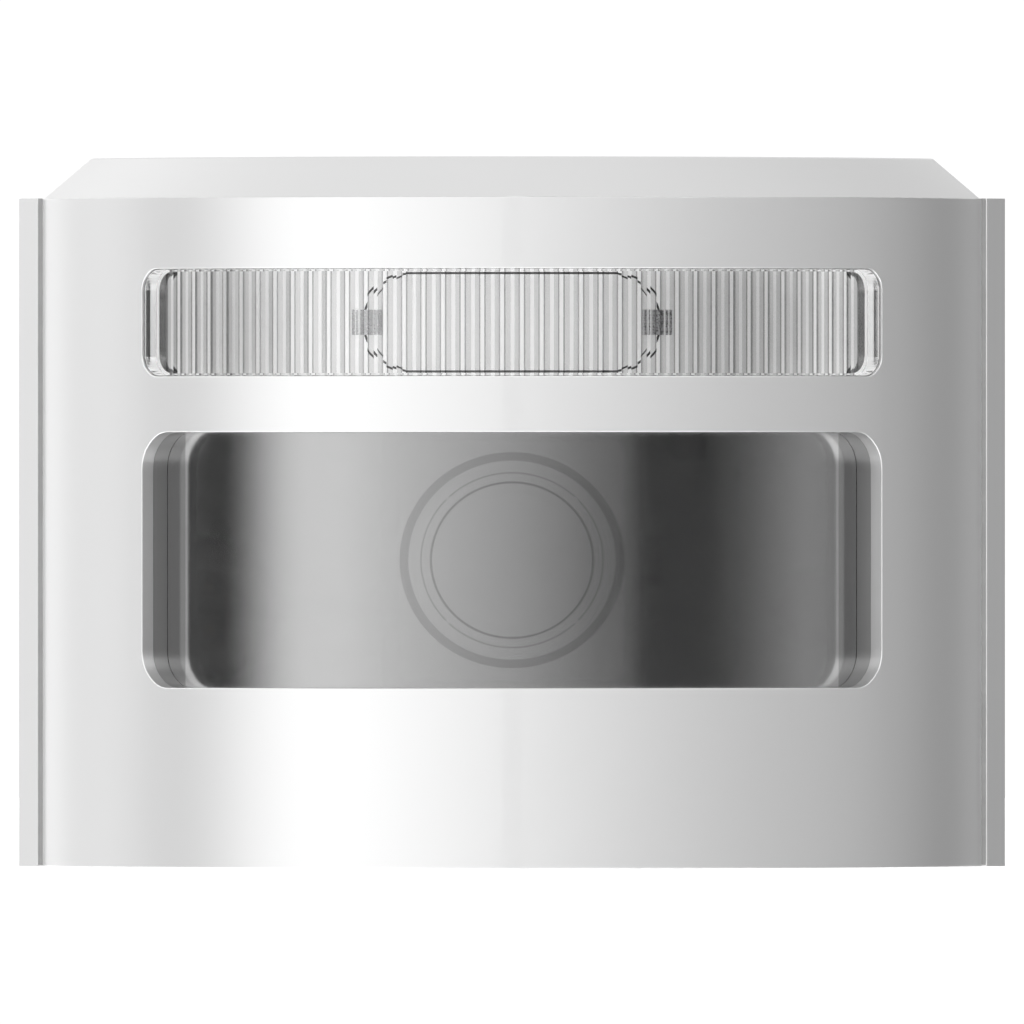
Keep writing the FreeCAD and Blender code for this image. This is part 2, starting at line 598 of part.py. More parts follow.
# ---- scanner frame ----
def scan_frame():
    y0, y1 = FRAME_Y
    z0, z1 = LOW_SHELF_Z, HIGH_SHELF_Z
    wall = box(-30, 30, y0, y1, z0, z1 + SHELF_T)
    ears = [box(-38, 38, y0, y1, z - 4, z + 4) for z in (18.0, 58.0)]
    low = polygon([(-13, -8), (13, -8), (22, y0), (-22, y0)], z0, z0 + SHELF_T)
    high = polygon([(-13, -8), (13, -8), (14, 2.5), (34, 2.5), (34, y1), (-30, y1), (-30, 12), (-14, 4)],
                   z1, z1 + SHELF_T)
    seats = [rod(6.5, V(0, PAN_Y, z0 + SHELF_T - BEARING_W - 0.8), Z, BEARING_W + 0.8),
             rod(6.5, V(0, PAN_Y, z1), Z, BEARING_W + 0.8)]
    webs = [polygon([(x - 1, y0), (x + 1, y0), (x + 1, y0 - 4), (x - 1, y0 - 4)], z0 + SHELF_T, z0 + 8)
            for x in (-18, 18)]
    posts = [rod(1.8, V(x, y, z1), Z, ENCODER_Z - z1) for x, y in ENCODER_XY]
    anchor = box(-0.9, 0.9, PAN_Y + LEAD_R[1] + 0.25, PAN_Y + LEAD_R[1] + 2.6, z0, YOKE_Z[0] - 1.9)
    body = join([wall, low, high, anchor] + ears + seats + webs + posts)
    cuts = [rod(BEARING_R, V(0, PAN_Y, z0 + SHELF_T - BEARING_W), Z, BEARING_W),
            rod(3.4, V(0, PAN_Y, z0 + SHELF_T - BEARING_W - 1), Z, 2.0),
            rod(BEARING_R, V(0, PAN_Y, z1), Z, BEARING_W),
            rod(3.4, V(0, PAN_Y, z1 + BEARING_W - 0.5), Z, 2.0),
            rod(3.2, MOTOR + Z * (z1 - 1), Z, SHELF_T + 2)]
    cuts += [rod(1.25, V(x, y0 - 1, z), Y, 4) for x, z in POST_XZ]
    cuts += [rod(0.8, motor_ear(side) + Z * z1, Z, SHELF_T) for side in (-1, 1)]
    cuts += [rod(2.6, V(x, y0 - 1, z), Y, 4) for x, z in BOARD_XZ + [SOCKET_PLACES[-1]]]
    window = box(-12, 12, y0 - 1, y1 + 1, 30, 50)
    cuts.append(rounded(window, 3.0, deep))
    for cut in cuts:
        body = body.cut(cut)
    return body


def frame_screws():
    return group(screw(2.75, 1.8, 1.25, 7.5, V(x, FRAME_Y[0], z), Y) for x, z in POST_XZ)


def bearing_outer(z):
    """Outer race and shields of a small ball bearing, as one ring with a recess in each face."""
    ring = tube(BEARING_R, 3.05, V(0, PAN_Y, z), Z, BEARING_W)
    for start in (z, z + BEARING_W - 0.25):
        ring = ring.cut(tube(4.0, 3.05, V(0, PAN_Y, start), Z, 0.25))
    return ring


def bearing_inner(z):
    return tube(2.95, SHAFT_R, V(0, PAN_Y, z), Z, BEARING_W)


def motor_ear(side):
    return MOTOR + V(cos(radians(MOTOR_EAR_ANGLE)), sin(radians(MOTOR_EAR_ANGLE)), 0) * (side * MOTOR_EAR)


def motor_body():
    z = HIGH_SHELF_Z + SHELF_T
    can = rounded(rod(MOTOR_R, MOTOR + Z * z, Z, MOTOR_H), 0.8, lambda e: level(e, z + MOTOR_H))
    ears = [rod(2.3, motor_ear(side) + Z * z, Z, 1.0) for side in (-1, 1)]
    bar = box(-MOTOR_EAR, MOTOR_EAR, -2.3, 2.3, z, z + 1.0)
    bar.rotate(V(0, 0, 0), Z, MOTOR_EAR_ANGLE)
    bar.translate(MOTOR)
    boss = rod(3.0, MOTOR + Z * (z - 1.4), Z, 1.6)
    lug = box(-3.5, 3.5, 0, 2.2, z + 5, z + 12)
    lug.translate(V(MOTOR.x, MOTOR.y + MOTOR_R - 0.6, 0))
    body = join([can, bar, boss, lug] + ears)
    for side in (-1, 1):
        body = body.cut(rod(0.95, motor_ear(side) + Z * (z - 1), Z, 3))
    return body.cut(rod(1.05, MOTOR + Z * (z - 3), Z, MOTOR_H - 1))


def motor_screws():
    z = HIGH_SHELF_Z + SHELF_T + 1.0
    return group(screw(1.6, 1.1, 0.8, 2.8, motor_ear(side) + Z * z, -Z, slot=0.45) for side in (-1, 1))


def encoder_board():
    z = ENCODER_Z
    board = rounded(box(-8, 8, -6, 11, z, z + 1.0), 1.5, upright)
    chip = box(-2.5, 2.5, PAN_Y - 2, PAN_Y + 2, z - 0.9, z)
    socket = box(-5, 5, 6.5, 9.5, z + 1.0, z + 3.2)
    return join([board, chip, socket.cut(box(-4, 4, 7.2, 8.4, z + 2.0, z + 4))])


# ---- electronics at the back ----
def main_board():
    y0, y1 = BOARD_Y
    board = box(-27, 27, y0, y1, 16, 60)
    board = rounded(board, 2.0, deep)
    for x, z in BOARD_XZ:
        board = board.cut(rod(1.0, V(x, y0 - 1, z), Y, 4))
    return board


def board_chips():
    """Processor, memory, amplifier and regulator packages on both faces of the board."""
    front, back = BOARD_Y
    packages = ((0, 38, 12, 12), (-14, 42, 6, 8), (14, 42, 6, 8), (13, 30, 5, 5), (-13, 29, 5, 4))
    made = [box(x - w / 2, x + w / 2, front - 1.2, front, z - h / 2, z + h / 2) for x, z, w, h in packages]
    made += [box(x - 1.6, x + 1.6, back, back + 1.4, z - 1, z + 1)
             for x in (-16, -8, 0, 8, 16) for z in (24, 50)]
    return group(made)


def board_sockets():
    y0 = BOARD_Y[0]
    made = []
    for x, z in SOCKET_PLACES:
        shell = box(x - 5, x + 5, y0 - 1.5, y0, z - 1.6, z + 1.6)
        made.append(shell.cut(box(x - 4, x + 4, y0 - 1.1, y0 - 0.4, z, z + 1.6)))
    return group(made)


def board_screws():
    return group(screw(2.0, 1.3, 1.0, 4.2, V(x, BOARD_Y[0], z), Y, slot=0.5) for x, z in BOARD_XZ)


def socket_shell():
    """A flush round connector body with a flange inside the back wall."""
    x, z = SOCKET_XZ
    body = join([rod(8.0, V(x, BACK_IN_Y, z), Y, BACK_T), rod(9.6, V(x, BACK_IN_Y - 1.4, z), Y, 1.4),
                 rod(7.0, V(x, 14.5, z), Y, BACK_IN_Y - 14.5)])
    body = body.cut(rod(5.6, V(x, 21.0, z), Y, 9.1)).cut(rod(4.9, V(x, 14.0, z), Y, 8.0))
    key = box(x - 0.7, x + 0.7, 22.0, 28.5, z + 4.9, z + 5.8)
    body = body.fuse(key).removeSplitter()
    return rounded(body, 0.4, lambda e: e.isClosed() and abs(e.BoundBox.YMin - BACK_Y) < 0.01, chamfer=True)


def socket_nut():
    x, z = SOCKET_XZ
    return hexagon(9.6, x, 22.6, z, 2.6).cut(rod(7.0, V(x, 22.0, z), Y, 4))


def socket_seal():
    x, z = SOCKET_XZ
    return tube(9.2, 7.0, V(x, BACK_IN_Y - 2.2, z), Y, 0.8)


def socket_core():
    """Insulator block that carries the contacts."""
    x, z = SOCKET_XZ
    core = rod(4.9, V(x, 14.5, z), Y, 7.3)
    for px, pz in socket_pin_places():
        core = core.cut(rod(0.5, V(px, 14.0, pz), Y, 8.5))
    return core


def socket_pin_places():
    x, z = SOCKET_XZ
    turns = [pi * (2 * k + 1) / 7 for k in range(7)]
    return [(x, z)] + [(x + 2.75 * cos(a), z + 2.75 * sin(a)) for a in turns]


def socket_pins():
    """Eight contacts with tapered tips, recessed in the shell."""
    made = []
    for px, pz in socket_pin_places():
        tip = Part.makeCone(0.5, 0.2, 0.5, V(px, 25.1, pz), Y)
        made.append(join([rod(0.5, V(px, 12.0, pz), Y, 13.1), tip]))
    return group(made)


def vent_plug():
    """Pressure-balancing vent: a slotted cap on a short threaded stem."""
    x, z = VENT_XZ
    cap = rod(5.6, V(x, BACK_Y - 1.4, z), Y, 1.3)
    cap = rounded(cap, 0.4, lambda e: e.isClosed() and e.BoundBox.YMin > BACK_Y - 0.2)
    body = join([cap, rod(3.0, V(x, BACK_IN_Y - 2.5, z), Y, 2.6 + 1.6)])
    body = body.cut(rod(1.6, V(x, BACK_IN_Y - 3, z), Y, 3.8))
    for k in range(6):
        slot = box(x + 3.0, x + 4.6, BACK_Y - 0.7, BACK_Y + 1, z - 0.35, z + 0.35)
        slot.rotate(V(x, 0, z), Y, 60 * k)
        body = body.cut(slot)
    return body


def vent_nut():
    x, z = VENT_XZ
    return hexagon(5.6, x, BACK_IN_Y - 2.2, z, 2.2).cut(rod(3.0, V(x, BACK_IN_Y - 3, z), Y, 4))


def rounded_route(points, radius):
    """Straight runs joined by tangent arcs, each as large as its two runs allow, swept as a round tube."""
    edges, last = [], points[0]
    for before, corner, after in zip(points, points[1:], points[2:]):
        u, w = (before - corner).normalize(), (after - corner).normalize()
        turn = pi - acos(max(-1.0, min(1.0, u.dot(w))))
        cut = 0.45 * min((before - corner).Length, (after - corner).Length)
        bend = cut / tan(turn / 2)
        inward = (u + w).normalize()
        first, end = corner + u * cut, corner + w * cut
        middle = corner + inward * (bend / cos(turn / 2) - bend)
        edges += [line(last, first), Part.Arc(first, middle, end).toShape()]
        last = end
    edges.append(line(last, points[-1]))
    path = Part.Wire(edges)
    along = (points[1] - points[0]).normalize()
    profile = Part.Wire([Part.makeCircle(radius, points[0], along)])
    return path.makePipeShell([profile], True, True)


def io_harness():
    """The short lead from the back of the connector to its socket on the board."""
    x, z = SOCKET_XZ
    end_x = SOCKET_PLACES[-1][0]
    route = [V(x, 11.9, z), V(x, 7.0, z), V(x + 3, 3.5, z), V(x + 8, 4.5, z), V(x + 11, 10.0, z),
             V(x + 14, 14.5, z), V(end_x, 15.5, z), V(end_x, BOARD_Y[0] - 1.5, z)]
    return rounded_route(route, 1.3)


# ---- gears ----
def involute(angle):
    return tan(angle) - angle


def polar(radius, angle):
    return V(radius * cos(angle), radius * sin(angle), 0)


def gear_face(teeth, phase):
    """An involute gear outline, thinned for backlash, with a tooth centred on phase degrees."""
    pitch_r = MODULE * teeth / 2
    base_r = pitch_r * cos(PRESSURE)
    tip_r = pitch_r + MODULE * GEAR_ADDENDUM
    root_r = pitch_r - MODULE * 1.25
    half_pitch = (pi * MODULE / 2 - GEAR_BACKLASH) / 2 / pitch_r

    def half_angle(r):
        return half_pitch + involute(PRESSURE) - involute(acos(min(1.0, base_r / r)))

    start_r = max(base_r, root_r)
    steps = 5
    radii = [start_r + (tip_r - start_r) * (i / steps) ** 1.5 for i in range(steps + 1)]
    edges = []
    for k in range(teeth):
        mid = radians(phase) + 2 * pi * k / teeth
        gap = mid + pi / teeth
        rise = [polar(r, mid - half_angle(r)) for r in radii]
        fall = [polar(r, mid + half_angle(r)) for r in reversed(radii)]
        flank_up, flank_down = Part.BSplineCurve(), Part.BSplineCurve()
        flank_up.interpolate(Points=rise)
        flank_down.interpolate(Points=fall)
        foot_in = polar(root_r, mid - half_angle(start_r))
        foot_out = polar(root_r, mid + half_angle(start_r))
        next_foot = polar(root_r, mid + 2 * pi / teeth - half_angle(start_r))
        if start_r > root_r + 1e-6:
            edges.append(line(foot_in, rise[0]))
        edges.append(flank_up.toShape())
        edges.append(Part.Arc(rise[-1], polar(tip_r, mid), fall[0]).toShape())
        edges.append(flank_down.toShape())
        if start_r > root_r + 1e-6:
            edges.append(line(fall[-1], foot_out))
        edges.append(Part.Arc(foot_out, polar(root_r, gap), next_foot).toShape())
    return Part.Face(Part.Wire(edges))


def sector_gear():
    z0, z1 = GEAR_Z
    gear = gear_face(SECTOR_TEETH, MESH_ANGLE).extrude(Z * (z1 - z0))
    reach = 40.0
    a0, a1 = radians(MESH_ANGLE - 54), radians(MESH_ANGLE + 54)
    corners = [polar(0, 0), polar(reach, a0), polar(reach * 1.6, radians(MESH_ANGLE)), polar(reach, a1)]
    gear = gear.common(polygon([(p.x, p.y) for p in corners], -1, z1))
    for k in (-1, 0, 1):
        gear = gear.cut(rod(2.0, polar(9.6, radians(MESH_ANGLE + 32 * k)) - Z, Z, 6))
    hub = rod(5.2, V(0, 0, -0.5), Z, z1 - z0 + 1.0)
    gear = join([gear, hub]).cut(rod(SHAFT_R, V(0, 0, -2), Z, 8))
    gear.translate(V(0, PAN_Y, z0))
    return gear


def pinion_gear():
    z0, z1 = GEAR_Z
    phase = MESH_ANGLE + 180 + 180 / PINION_TEETH
    gear = gear_face(PINION_TEETH, phase).extrude(Z * (z1 - z0))
    gear = join([gear, rod(3.0, V(0, 0, z1 - z0), Z, 0.9)]).cut(rod(1.0, V(0, 0, -1), Z, 6))
    gear.translate(MOTOR + Z * z0)
    return gear


def motor_shaft():
    return rod(1.0, MOTOR + Z * (GEAR_Z[0] - 0.3), Z, HIGH_SHELF_Z + SHELF_T + MOTOR_H - 5 - GEAR_Z[0])


# ---- scan head ----
def yoke():
    """A closed rectangular gimbal frame that carries the barrel on two side pins."""
    half_x, half_y = YOKE_IN + YOKE_T, YOKE_HALF_Y
    body = box(-half_x, half_x, PAN_Y - half_y, PAN_Y + half_y, *YOKE_Z)
    body = rounded(body, 3.0, deep)
    hole = box(-YOKE_IN, YOKE_IN, PAN_Y - half_y - 1, PAN_Y + half_y + 1,
               YOKE_Z[0] + YOKE_BRIDGE, YOKE_Z[1] - YOKE_BRIDGE)
    hole = rounded(hole, 1.5, deep)
    body = body.cut(hole).cut(rod(PIN_R + 0.05, V(-half_x - 1, PAN_Y, EYE_Z), X, 2 * half_x + 2))
    foot = LOW_SHELF_Z + SHELF_T + 0.6
    hub = rod(4.5, PAN + Z * foot, Z, YOKE_Z[0] - foot + 0.5)
    body = join([body, hub])
    return body.cut(rod(SHAFT_R, PAN, Z, EYE_Z - 14)).cut(rod(SHAFT_R, PAN + Z * (EYE_Z + 14), Z, 20))


def pan_shafts():
    start = LOW_SHELF_Z + SHELF_T - BEARING_W - 0.4
    low = rod(SHAFT_R, PAN + Z * start, Z, YOKE_Z[0] + YOKE_BRIDGE - start)
    top = YOKE_Z[1] - YOKE_BRIDGE
    high = rod(SHAFT_R, PAN + Z * top, Z, HIGH_SHELF_Z + 5.4 - top)
    return group([low, high])


def encoder_magnet():
    cup = rod(3.0, V(0, PAN_Y, HIGH_SHELF_Z + 5.4), Z, 2.2)
    return rounded(cup, 0.3, lambda e: level(e, HIGH_SHELF_Z + 7.6))


def clock_spring():
    """The flat flexible lead, wound loosely round the lower shaft so that the head can swing."""
    turns, thick, steps = 2.25, 0.3, 8
    r0, r1 = LEAD_R
    count = int(turns * steps) + 1

    def spiral(offset):
        points = []
        for i in range(count):
            a = 2 * pi * i / steps
            r = r0 + (r1 - r0) * i / (count - 1) + offset
            points.append(V(r * cos(a), PAN_Y + r * sin(a), 15.4))
        bend = Part.BSplineCurve()
        bend.interpolate(Points=points)
        return bend.toShape(), points
    inner, a = spiral(-thick / 2)
    outer, b = spiral(thick / 2)
    outline = Part.Wire([inner, line(a[-1], b[-1]), outer, line(b[0], a[0])])
    return Part.Face(outline).extrude(Z * 4.6)


# ---- barrel ----
def along(y):
    """A point on the barrel's axis, y from the pan axis."""
    return V(0, PAN_Y + y, EYE_Z)


def barrel_tube():
    front, step, rear = BARREL_FRONT, BARREL_STEP, BARREL_REAR
    wide = rod(BARREL_R, along(front), Y, step - front + 6)
    body = join([wide, rod(BARREL_REAR_R, along(step), Y, rear - step)])
    body = rounded(body, 0.3, lambda e: e.isClosed() and e.BoundBox.YMax < PAN_Y + front + 0.01, chamfer=True)
    body = body.cut(rod(RING_R, along(front), Y, 6.0)).cut(rod(10.3, along(front), Y, rear - front))
    body = body.cut(tube(BARREL_R + 1, BARREL_R - 0.8, along(front + 1.2), Y, 2.6))
    for side in (-1, 1):
        flat = rod(3.4, V(side * (BARREL_R - 2.5), PAN_Y, EYE_Z), X * side, 2.5 + 0.7)
        body = body.fuse(flat)
    body = body.removeSplitter().cut(rod(10.3, along(front), Y, rear - front))
    body = body.cut(rod(PIN_R, V(-20, PAN_Y, EYE_Z), X, 40))
    return join([body, tube(10.4, 6.5, along(0.0), Y, 1.2)])


def barrel_bumper():
    """Soft ring round the front of the barrel, seated in a groove."""
    ring = tube(BUMPER_R, BARREL_R, along(BARREL_FRONT + 0.15), Y, 4.6)
    foot = tube(BARREL_R, BARREL_R - 0.8, along(BARREL_FRONT + 1.2), Y, 2.6)
    ring = join([ring, foot])
    return rounded(ring, 0.35, lambda e: e.isClosed() and e.BoundBox.XLength > 2 * BUMPER_R - 0.1)


def retaining_ring():
    """Threaded ring that holds the front glass, with four spanner notches."""
    ring = tube(RING_R - 0.05, EYE_R, along(BARREL_FRONT + 0.35), Y, 2.2)
    for k in range(4):
        notch = box(RING_R - 0.65, RING_R + 1, -0.35, 0.35, -0.5, 0.5)
        notch.rotate(V(0, 0, 0), Y, 45 + 90 * k)
        notch.translate(along(BARREL_FRONT + 0.35))
        ring = ring.cut(notch)
    return ring


def lens_cell():
    """Sleeve that carries the front glass and slides in the barrel."""
    cell = tube(10.25, 8.6, along(BARREL_FRONT + 5.6), Y, 8.0)
    seat = tube(RING_R - 0.1, 8.6, along(BARREL_FRONT + 5.2 - 0.6), Y, 1.0)
    return join([cell, seat])


def objective_lens():
    """Front glass: a domed face towards the window and a flat face on the cell."""
    depth, edge, radius = 1.6, 0.4, 10.4
    ball_r = (radius ** 2 + depth ** 2) / (2 * depth)
    base = BARREL_FRONT + 4.6
    dome = Part.makeSphere(ball_r, along(base - edge - depth + ball_r))
    dome = dome.common(rod(radius, along(base - edge - depth - 1), Y, depth + 1))
    return join([dome, rod(radius, along(base - edge), Y, edge)])


def rear_lens():
    disc = rod(8.6, along(BARREL_FRONT + 10.5), Y, 2.0)
    return rounded(disc, 0.4, lambda e: e.isClosed())


def band_filter():
    return rod(8.6, along(BARREL_FRONT + 7.4), Y, 1.0)


def detector_board():
    return rod(10.2, along(DETECTOR_Y), Y, 1.2)


def detector_parts():
    """The detector array and the laser diode in front of the board, and its socket behind."""
    y = PAN_Y + DETECTOR_Y
    chip = box(-2.5, 2.5, y - 0.9, y, EYE_Z - 2.5, EYE_Z + 2.5)
    diode = rod(1.6, V(5.6, y - 1.6, EYE_Z), Y, 1.6)
    back = box(-3.5, 3.5, y + 1.2, y + 2.2, EYE_Z - 5.5, EYE_Z - 2.5)
    return group([chip, diode, back])


def barrel_back():
    """Rear cover of the barrel, with a lead slot."""
    cap = rod(BARREL_REAR_R, along(BARREL_REAR), Y, 1.2)
    spigot = tube(10.25, 9.2, along(BARREL_REAR - 2.4), Y, 2.4)
    rear = PAN_Y + BARREL_REAR
    cap = rounded(join([cap, spigot]), 0.4, lambda e: e.isClosed() and e.BoundBox.YMin > rear + 1.1)
    return cap.cut(box(-3.6, 3.6, rear - 3, rear + 2, EYE_Z - 7.5, EYE_Z - 5.5))


def tilt_pins():
    left = rod(PIN_R, V(-YOKE_IN - YOKE_T - 0.9, PAN_Y, EYE_Z), X, YOKE_IN + YOKE_T + 0.9 - 10.5)
    right = rod(PIN_R, V(10.5, PAN_Y, EYE_Z), X, YOKE_IN + YOKE_T + 0.4 - 10.5)
    return group([left, right])


def tilt_lock():
    """Slotted lock nut on the right-hand tilt pin."""
    x = YOKE_IN + YOKE_T + 0.4
    knob = rod(3.6, V(x, PAN_Y, EYE_Z), X, 2.2)
    knob = rounded(knob, 0.4, lambda e: e.isClosed() and e.BoundBox.XMin > x + 2.1)
    return knob.cut(box(x + 1.2, x + 3, PAN_Y - 0.5, PAN_Y + 0.5, EYE_Z - 4, EYE_Z + 4))


def build():
    bearings = (LOW_SHELF_Z + SHELF_T - BEARING_W, HIGH_SHELF_Z)
    parts = {
        "front_cover": front_cover(), "rear_housing": rear_housing(), "top_cap": top_cap(),
        "cap_gasket": cap_gasket(), "base_plate": base_plate(), "base_seal": base_seal(),
        "tie_bolts": tie_bolts(), "side_seals": side_seals(), "mount_inserts": mount_inserts(),
        "window_carrier": window_carrier(), "smoked_window": smoked_window(),
        "smoked_window_gasket": window_gasket(LOWER_Z, LOWER_CORNER),
        "fluted_lens": fluted_lens(), "fluted_lens_gasket": window_gasket(UPPER_Z, UPPER_CORNER),
        "light_shield": light_shield(), "carrier_screws": radial_screws(MASK_EARS_Z + TRAY_EARS_Z),
        "emitter_tray": emitter_tray(), "emitter_plate": emitter_plate(),
        "emitter_clips": group([emitter_clip(-1), emitter_clip(1)]),
        "emitter_flex": emitter_flex(), "emitter_leds": emitter_leds(),
        "scan_frame": scan_frame(), "frame_screws": frame_screws(),
        "bearing_outer_rings": group(bearing_outer(z) for z in bearings),
        "bearing_inner_rings": group(bearing_inner(z) for z in bearings),
        "pan_motor": motor_body(), "motor_screws": motor_screws(), "motor_shaft": motor_shaft(),
        "pinion_gear": pinion_gear(), "sector_gear": sector_gear(),
        "encoder_board": encoder_board(), "encoder_magnet": encoder_magnet(),
        "main_board": main_board(), "board_chips": board_chips(), "board_sockets": board_sockets(),
        "board_screws": board_screws(), "socket_shell": socket_shell(), "socket_nut": socket_nut(),
        "socket_seal": socket_seal(), "socket_core": socket_core(), "socket_pins": socket_pins(),
        "io_harness": io_harness(), "vent_plug": vent_plug(), "vent_nut": vent_nut(),
        "yoke": yoke(), "pan_shafts": pan_shafts(), "clock_spring": clock_spring(),
        "barrel_tube": barrel_tube(), "barrel_bumper": barrel_bumper(), "retaining_ring": retaining_ring(),
        "lens_cell": lens_cell(), "objective_lens": objective_lens(), "band_filter": band_filter(),
        "rear_lens": rear_lens(), "detector_board": detector_board(), "detector_parts": detector_parts(),
        "barrel_back": barrel_back(), "tilt_pins": tilt_pins(), "tilt_lock": tilt_lock(),
    }
    os.makedirs("parts", exist_ok=True)
    for name, shape in parts.items():
        shape.exportStep(f"parts/{name}.step")
        print(f"{name:22s} {len(shape.Solids):3d} solids {shape.Volume / 1000:9.3f} cm3 {shape.isValid()}")
    print(len(parts), "nodes")


build()
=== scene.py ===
import json
from math import asin, atan2, cos, degrees, pi, radians, sin, sqrt, tan

import bmesh
import bpy
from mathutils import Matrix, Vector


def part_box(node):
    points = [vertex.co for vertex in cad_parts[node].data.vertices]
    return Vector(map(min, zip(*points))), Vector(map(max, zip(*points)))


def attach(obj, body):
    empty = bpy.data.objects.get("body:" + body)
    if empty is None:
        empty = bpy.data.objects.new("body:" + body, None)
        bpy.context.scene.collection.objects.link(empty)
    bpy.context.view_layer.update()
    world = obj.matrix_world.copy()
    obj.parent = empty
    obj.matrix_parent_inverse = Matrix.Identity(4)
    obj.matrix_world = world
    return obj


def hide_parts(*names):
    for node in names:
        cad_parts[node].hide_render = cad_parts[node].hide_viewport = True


# Looks for the half-round scanner module: fine meshes for what the light falls on, materials, studio, camera.
# Metres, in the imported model's own frame: the rounded front faces -Y, and Z is up.

MM = 0.001
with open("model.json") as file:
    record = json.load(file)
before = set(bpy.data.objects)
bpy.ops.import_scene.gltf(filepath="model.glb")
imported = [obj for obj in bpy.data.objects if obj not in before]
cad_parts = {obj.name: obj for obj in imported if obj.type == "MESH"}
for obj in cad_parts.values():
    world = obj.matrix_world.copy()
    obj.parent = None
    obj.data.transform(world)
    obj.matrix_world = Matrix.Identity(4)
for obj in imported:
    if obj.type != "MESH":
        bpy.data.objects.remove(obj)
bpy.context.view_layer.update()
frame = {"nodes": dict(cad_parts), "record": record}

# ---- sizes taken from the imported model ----
COVER_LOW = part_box("front_cover")[0]
HOUSE_LOW, HOUSE_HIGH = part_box("rear_housing")
LENS_LOW, LENS_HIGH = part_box("fluted_lens")
PANE_LOW, PANE_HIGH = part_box("smoked_window")
BARREL_LOW, BARREL_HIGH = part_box("barrel_bumper")
FRONT_R = 66.0 * MM
AXIS_Y = COVER_LOW[1] + FRONT_R
EYE_Z = (BARREL_LOW[2] + BARREL_HIGH[2]) / 2
LENS_Z = (LENS_LOW[2] + LENS_HIGH[2]) / 2

# ---- fluted lens: outlines are half-angle, bottom, top and corner radius ----
PAD = (47.4, LENS_Z - 7.05 * MM, LENS_Z + 7.05 * MM, 2.9 * MM)
PAD_CLEAR = 0.06 * MM
PAD_EDGE = 0.08 * MM
PAD_R = 65.6 * MM
PAD_BACK_R = 61.2 * MM
PAD_RIM = 0.3 * MM
FLANGE = (50.5, LENS_LOW[2], LENS_HIGH[2], 5.3 * MM)
FLANGE_R = (59.9 * MM, 61.5 * MM)
FOOT_BEVEL = (0.1 * MM, 0.2 * MM)

# ---- flutes, in degrees, and their painted shade by place across one flute, ahead and aside, in place of
# the light and shade that refraction gives real flutes; set after the tones measured across the picture's
# flutes ----
FLUTES = 39
FLUTE_PITCH = 2.37
FLUTE_GAP = 0.40
FLUTE_CREST = 0.46
FLUTE_BLEND = 0.03
FLUTE_RISE = 0.12 * MM
FLUTES_HALF = FLUTES * FLUTE_PITCH / 2
FLUTE_SHADE_AHEAD = [(0.0, 1.0), (0.09, 1.0), (0.10, 0.22), (0.17, 0.22), (0.18, 0.58), (0.43, 0.60),
               (0.44, 0.95), (0.61, 0.95), (0.62, 0.52), (0.83, 0.46), (0.84, 0.20), (0.90, 0.20),
               (0.91, 1.0), (1.0, 1.0)]
FLUTE_SHADE_ASIDE = [(0.0, 0.65), (0.09, 0.65), (0.10, 0.03), (0.23, 0.06), (0.24, 0.27), (0.43, 0.33),
               (0.44, 0.60), (0.61, 0.60), (0.62, 0.34), (0.83, 0.30), (0.84, 0.08), (0.90, 0.08),
               (0.91, 0.65), (1.0, 0.65)]
# painted shade along the lens: the share of the darker aside pattern at each angle, more towards the sides
SIDE_SHADE_SHARE = [(-48, 1.0), (-36, 1.0), (-32, 0.25), (-26, 0.0), (8, 0.0), (20, 0.5), (27, 0.9), (34, 0.8),
               (48, 1.0)]
# strength of the reflector's painted glow; the reflector is no lamp
PAINTED_GLOW = 0.3

# ---- smoked window: each painted circle is a radius and a half-width in millimetres, and a depth of tone;
# the circles paint the barrel's dark seal and the shade in its groove and ring gaps onto the pane, partly
# painted shade; the pane's darker border, painted shade, starts at an angle in degrees ----
PANE_R = (59.1 * MM, 61.5 * MM)
PANE_CORNER = 3.0 * MM
PANE_CHAMFER = 0.2 * MM
PANE_BORDER = 44.2
PANE_GREY = 0.65
# grey of the painted shade at the pane's ends and in the circles
PAINTED_SHADE_GREY = 0.40
CIRCLES = [(10.61, 0.12, 0.8), (11.92, 0.09, 0.5), (14.15, 0.56, 0.55)]
CIRCLES_EDGE = 0.04
CIRCLES_SPAN = 16.0
CIRCLES_SQUEEZE = 0.96
BREAK_R = 0.3 * MM
BREAK_AT = CIRCLES[1][0] * MM * sqrt(0.5)

# ---- studio: the light tent's brightness, as a share of its strength, by azimuth from straight ahead, and
# overhead by x as a share of its radius. The levels were fitted to the tones that the metal and the smoked
# window have along two lines of the picture ----
TENT_R = 1.5
TENT_STRENGTH = 1.8
EYE_LEVEL = [(-180, 1.0), (-135, 1.0), (-130, 0.64), (-124, 0.10), (-115, 0.03), (-110, 0.70), (-105, 0.95),
             (-99, 0.34), (-94, 0.07), (-85, 0.04), (-75, 0.01), (-70, 0.14), (-60, 0.56), (-54, 0.70),
             (-43, 0.70), (-25, 0.53), (0, 0.33), (20, 0.15), (27, 0.12), (33, 0.015), (50, 0.015),
             (60, 0.07), (78, 0.23), (92, 0.20), (107, 0.25), (115, 0.08), (121, 0.01), (127, 0.06),
             (135, 0.34), (145, 0.65), (180, 0.90)]
ABOVE_AND_BELOW = [(-180, 0.50), (-155, 0.44), (-130, 0.75), (-112, 0.84), (-95, 0.95), (-84, 1.0),
                   (-70, 1.0), (-54, 0.94), (-46, 0.78), (-36, 0.60), (-22, 0.83), (-12, 0.96), (5, 0.80),
                   (18, 0.92), (30, 1.0), (48, 1.0), (62, 0.80), (80, 0.48), (95, 0.23), (112, 0.12),
                   (130, 0.12), (145, 0.40), (160, 0.45), (180, 0.50)]
CEILING = [(-1.0, 0.36), (-0.5, 0.42), (0.0, 0.45), (0.6, 0.35), (1.0, 0.32)]
